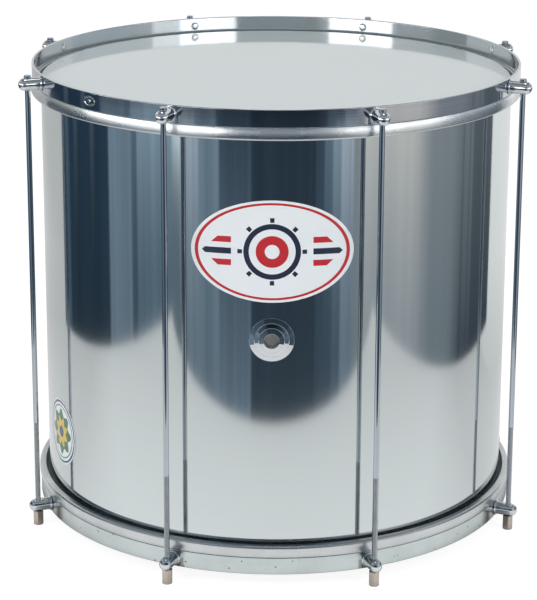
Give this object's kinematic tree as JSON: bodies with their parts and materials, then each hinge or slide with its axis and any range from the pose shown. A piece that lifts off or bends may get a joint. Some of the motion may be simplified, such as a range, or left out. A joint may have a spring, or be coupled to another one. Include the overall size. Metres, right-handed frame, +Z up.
{
  "type": "surdo drum",
  "caption": "Large cylindrical bass drum with a polished aluminium shell, two film heads, flat counterhoops, bullet lugs, through rods and tall tuning nuts.",
  "frame": {"origin": "on the drum's axis, on the plane of the floor that the eight nuts stand on", "axes": "+Z up along the drum's axis towards the batter head, -Y the front with the air vent, +X to the right seen from the front"},
  "size_m": [0.5866, 0.5866, 0.5514],
  "materials": {
    "polished_aluminium": "mirror polished, with faint brushing round the shell",
    "satin_aluminium": "satin, as drawn",
    "hoop_chrome": "bright chrome",
    "hoop_steel": "satin chrome with a few pits",
    "chrome": "bright chrome",
    "zinc_plate": "zinc plated",
    "nickel_brass": "dull nickel over brass",
    "head_film": "smooth translucent film"
  },
  "bodies": {
    "root": {"shell": "polished_aluminium", "vent_grommet": "chrome", "vent_ring_nut": "zinc_plate", "batter_head": "head_film", "batter_flesh_hoop": "satin_aluminium", "batter_counterhoop": "hoop_chrome", "resonant_head": "head_film", "resonant_flesh_hoop": "satin_aluminium", "resonant_counterhoop": "hoop_steel", "batter_lug_1": "chrome", "batter_lug_2": "chrome", "batter_lug_3": "chrome", "batter_lug_4": "chrome", "batter_lug_5": "chrome", "batter_lug_6": "chrome", "batter_lug_7": "chrome", "batter_lug_8": "chrome", "resonant_lug_1": "chrome", "resonant_lug_2": "chrome", "resonant_lug_3": "chrome", "resonant_lug_4": "chrome", "resonant_lug_5": "chrome", "resonant_lug_6": "chrome", "resonant_lug_7": "chrome", "resonant_lug_8": "chrome", "batter_lug_screw_1": "zinc_plate", "batter_lug_screw_2": "zinc_plate", "batter_lug_screw_3": "zinc_plate", "batter_lug_screw_4": "zinc_plate", "batter_lug_screw_5": "zinc_plate", "batter_lug_screw_6": "zinc_plate", "batter_lug_screw_7": "zinc_plate", "batter_lug_screw_8": "zinc_plate", "resonant_lug_screw_1": "zinc_plate", "resonant_lug_screw_2": "zinc_plate", "resonant_lug_screw_3": "zinc_plate", "resonant_lug_screw_4": "zinc_plate", "resonant_lug_screw_5": "zinc_plate", "resonant_lug_screw_6": "zinc_plate", "resonant_lug_screw_7": "zinc_plate", "resonant_lug_screw_8": "zinc_plate"},
    "rod_1": {"tension_rod_1": "chrome"},
    "nut_1": {"tuning_nut_1": "nickel_brass"},
    "rod_2": {"tension_rod_2": "chrome"},
    "nut_2": {"tuning_nut_2": "nickel_brass"},
    "rod_3": {"tension_rod_3": "chrome"},
    "nut_3": {"tuning_nut_3": "nickel_brass"},
    "rod_4": {"tension_rod_4": "chrome"},
    "nut_4": {"tuning_nut_4": "nickel_brass"},
    "rod_5": {"tension_rod_5": "chrome"},
    "nut_5": {"tuning_nut_5": "nickel_brass"},
    "rod_6": {"tension_rod_6": "chrome"},
    "nut_6": {"tuning_nut_6": "nickel_brass"},
    "rod_7": {"tension_rod_7": "chrome"},
    "nut_7": {"tuning_nut_7": "nickel_brass"},
    "rod_8": {"tension_rod_8": "chrome"},
    "nut_8": {"tuning_nut_8": "nickel_brass"}
  },
  "joints": [
    {"name": "rod_1_lift", "type": "slide", "parent": "root", "child": "rod_1", "axis": [0, 0, 1], "range_m": [0, 0.012]},
    {"name": "nut_1_turn", "type": "hinge", "parent": "root", "child": "nut_1", "pos_m": [0.1171, -0.28271, 0.009], "axis": [0, 0, 1], "range_deg": [-3420, 0]},
    {"name": "rod_2_lift", "type": "slide", "parent": "root", "child": "rod_2", "axis": [0, 0, 1], "range_m": [0, 0.012]},
    {"name": "nut_2_turn", "type": "hinge", "parent": "root", "child": "nut_2", "pos_m": [0.28271, -0.1171, 0.009], "axis": [0, 0, 1], "range_deg": [-3420, 0]},
    {"name": "rod_3_lift", "type": "slide", "parent": "root", "child": "rod_3", "axis": [0, 0, 1], "range_m": [0, 0.012]},
    {"name": "nut_3_turn", "type": "hinge", "parent": "root", "child": "nut_3", "pos_m": [0.28271, 0.1171, 0.009], "axis": [0, 0, 1], "range_deg": [-3420, 0]},
    {"name": "rod_4_lift", "type": "slide", "parent": "root", "child": "rod_4", "axis": [0, 0, 1], "range_m": [0, 0.012]},
    {"name": "nut_4_turn", "type": "hinge", "parent": "root", "child": "nut_4", "pos_m": [0.1171, 0.28271, 0.009], "axis": [0, 0, 1], "range_deg": [-3420, 0]},
    {"name": "rod_5_lift", "type": "slide", "parent": "root", "child": "rod_5", "axis": [0, 0, 1], "range_m": [0, 0.012]},
    {"name": "nut_5_turn", "type": "hinge", "parent": "root", "child": "nut_5", "pos_m": [-0.1171, 0.28271, 0.009], "axis": [0, 0, 1], "range_deg": [-3420, 0]},
    {"name": "rod_6_lift", "type": "slide", "parent": "root", "child": "rod_6", "axis": [0, 0, 1], "range_m": [0, 0.012]},
    {"name": "nut_6_turn", "type": "hinge", "parent": "root", "child": "nut_6", "pos_m": [-0.28271, 0.1171, 0.009], "axis": [0, 0, 1], "range_deg": [-3420, 0]},
    {"name": "rod_7_lift", "type": "slide", "parent": "root", "child": "rod_7", "axis": [0, 0, 1], "range_m": [0, 0.012]},
    {"name": "nut_7_turn", "type": "hinge", "parent": "root", "child": "nut_7", "pos_m": [-0.28271, -0.1171, 0.009], "axis": [0, 0, 1], "range_deg": [-3420, 0]},
    {"name": "rod_8_lift", "type": "slide", "parent": "root", "child": "rod_8", "axis": [0, 0, 1], "range_m": [0, 0.012]},
    {"name": "nut_8_turn", "type": "hinge", "parent": "root", "child": "nut_8", "pos_m": [-0.1171, -0.28271, 0.009], "axis": [0, 0, 1], "range_deg": [-3420, 0]}
  ],
  "couplings": [
    {"joint": "nut_1_turn", "follows": "rod_1_lift", "rad_per_m": -4947.4},
    {"joint": "nut_2_turn", "follows": "rod_2_lift", "rad_per_m": -4947.4},
    {"joint": "nut_3_turn", "follows": "rod_3_lift", "rad_per_m": -4947.4},
    {"joint": "nut_4_turn", "follows": "rod_4_lift", "rad_per_m": -4947.4},
    {"joint": "nut_5_turn", "follows": "rod_5_lift", "rad_per_m": -4947.4},
    {"joint": "nut_6_turn", "follows": "rod_6_lift", "rad_per_m": -4947.4},
    {"joint": "nut_7_turn", "follows": "rod_7_lift", "rad_per_m": -4947.4},
    {"joint": "nut_8_turn", "follows": "rod_8_lift", "rad_per_m": -4947.4}
  ]
}
